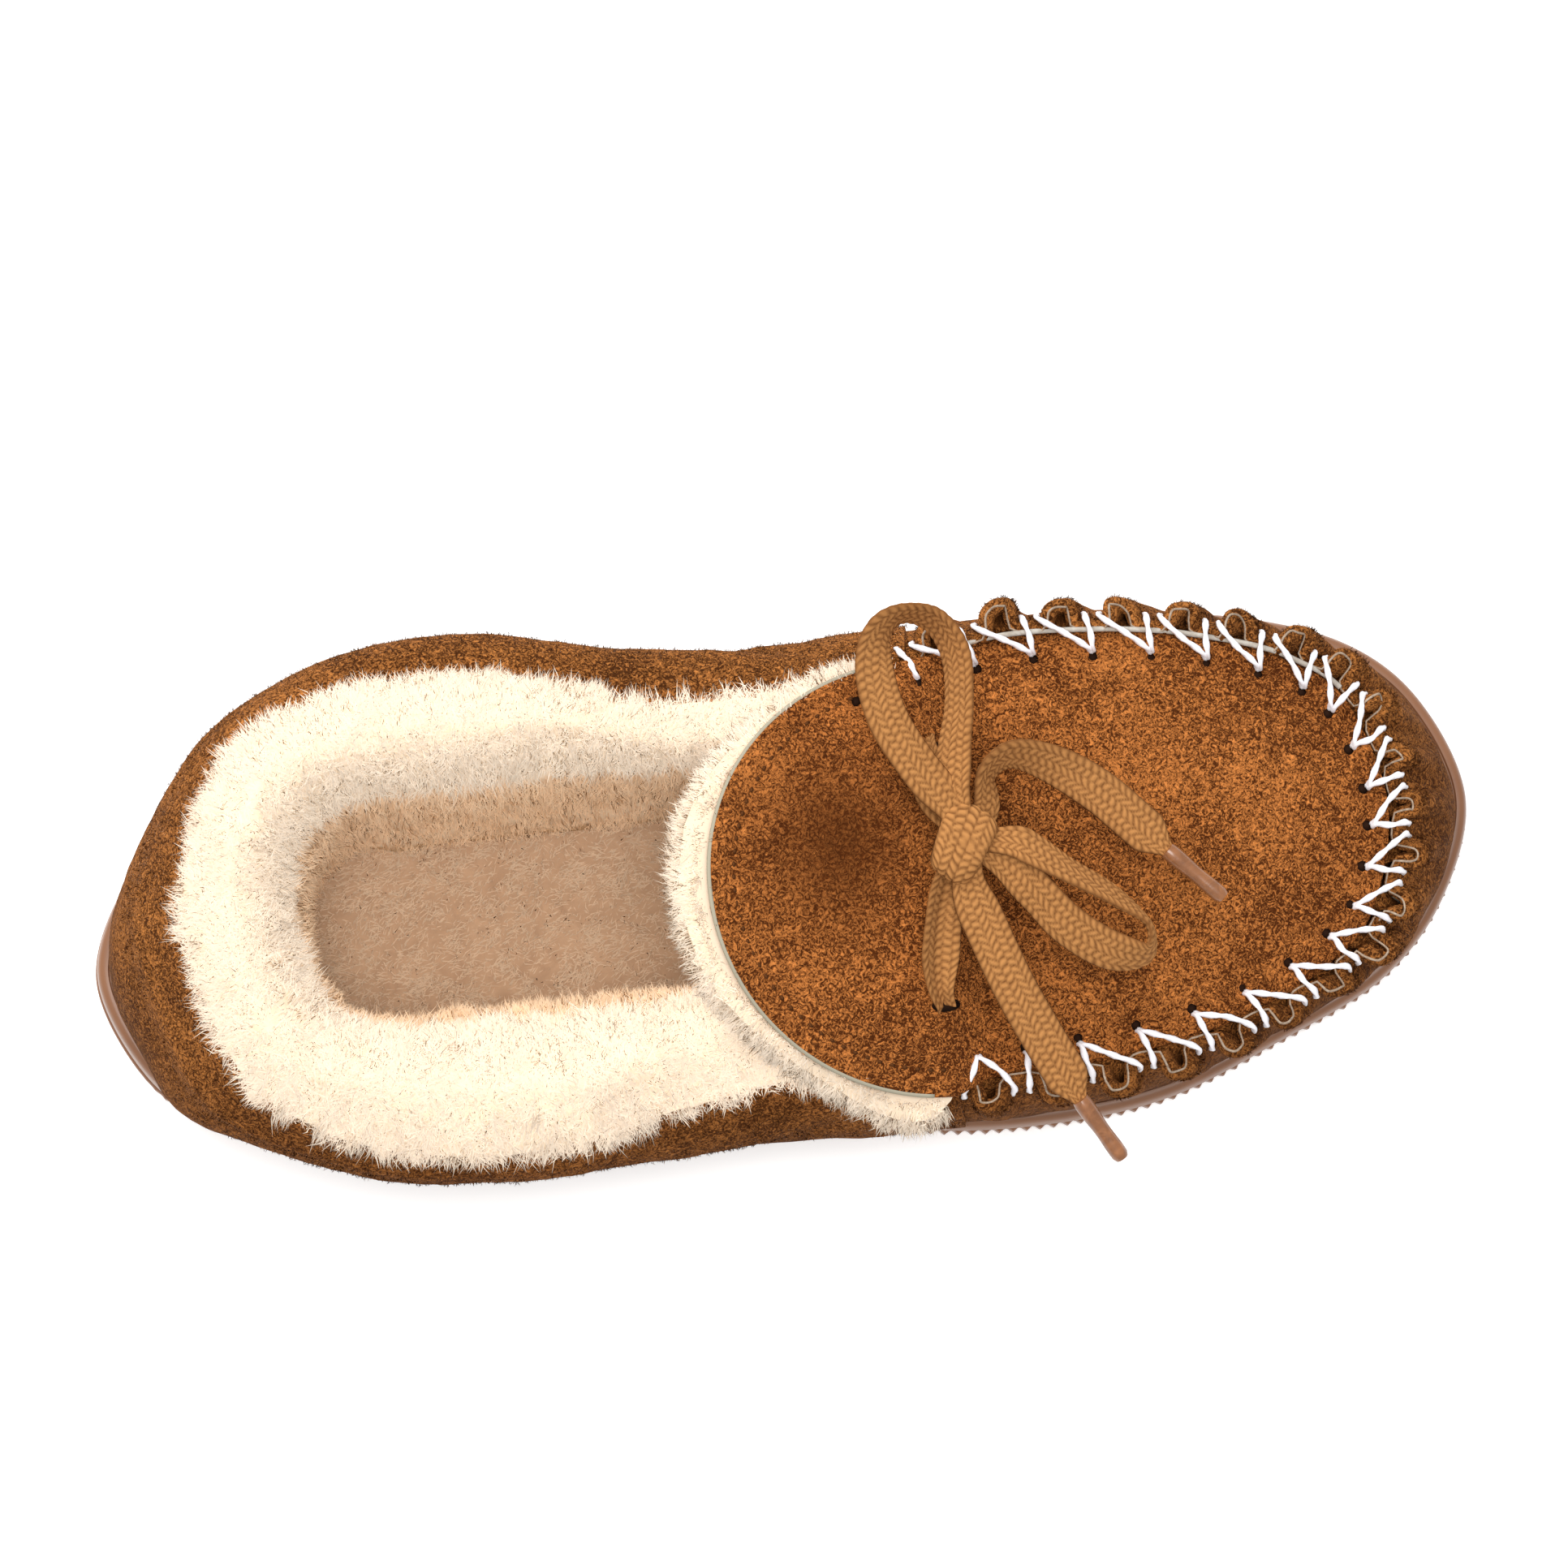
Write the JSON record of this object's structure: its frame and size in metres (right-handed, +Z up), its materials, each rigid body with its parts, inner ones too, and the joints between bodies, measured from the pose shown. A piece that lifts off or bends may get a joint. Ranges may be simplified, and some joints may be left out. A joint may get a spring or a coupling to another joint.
{
  "type": "moccasin slipper",
  "caption": "Right moccasin slipper: puckered suede upper, apron with tongue, deep sheepskin collar, moulded rubber sole and a bow of flat lace.",
  "frame": {"origin": "on the floor, midway along the shoe and midway across it", "axes": "+X from heel to toe, +Y to the inner (big toe) side, +Z up"},
  "size_m": [0.256, 0.1088, 0.0824],
  "materials": {
    "brown_rubber": "satin",
    "golden_suede": "nappy",
    "plug_suede": "nappy",
    "collar_wool": "matte",
    "tongue_wool": "matte",
    "sock_wool": "matte",
    "lace_weave": "matte",
    "aglet_plastic": "gloss"
  },
  "bodies": {
    "root": {"outsole": "brown_rubber", "insole": "sock_wool", "upper": "golden_suede", "plug": "plug_suede", "collar_fleece": "collar_wool", "tongue_fleece": "tongue_wool", "lace_crossing": "lace_weave", "lace_knot": "lace_weave", "lace_loop_1": "lace_weave", "lace_loop_2": "lace_weave", "lace_end_1": "lace_weave", "lace_end_2": "lace_weave", "aglet_1": "aglet_plastic", "aglet_2": "aglet_plastic"}
  },
  "joints": []
}
